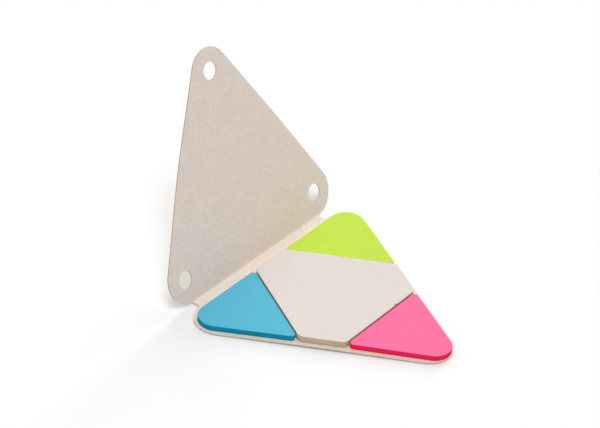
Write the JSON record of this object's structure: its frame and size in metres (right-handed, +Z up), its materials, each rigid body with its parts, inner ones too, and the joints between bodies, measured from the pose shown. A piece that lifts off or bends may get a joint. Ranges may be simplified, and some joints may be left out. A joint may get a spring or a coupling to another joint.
{
  "type": "memo pad set",
  "caption": "Rounded-triangle folder of recycled card with a hinged cover and round windows, holding corner pads and a six-sided centre pad of tear-off notes.",
  "frame": {"origin": "middle of the back panel's underside, the centre of its rounded triangle", "axes": "+Z up out of the back panel through the pads; +Y towards the hinge side; X along the hinge, with the green pad on +X and the blue pad on -X; the pink pad's corner points to -Y"},
  "size_m": [0.104, 0.1301, 0.0871],
  "materials": {
    "recycled_card": "matte",
    "cover_card": "matte",
    "blue_paper": "matte",
    "green_paper": "matte",
    "pink_paper": "matte",
    "natural_paper": "matte"
  },
  "bodies": {
    "base": {"back_panel": "recycled_card", "blue_pad": "blue_paper", "green_pad": "green_paper", "pink_pad": "pink_paper", "natural_pad": "natural_paper"},
    "spine": {"spine_strip": "recycled_card"},
    "cover": {"cover_panel": "cover_card"}
  },
  "joints": [
    {"name": "spine_fold", "type": "hinge", "parent": "base", "child": "spine", "pos_m": [0, 0.0347, 0.0005], "axis": [1, 0, 0], "range_deg": [-4, 86]},
    {"name": "cover_fold", "type": "hinge", "parent": "spine", "child": "cover", "pos_m": [0, 0.03814, 0.00074], "axis": [1, 0, 0], "range_deg": [-65, 25]}
  ]
}
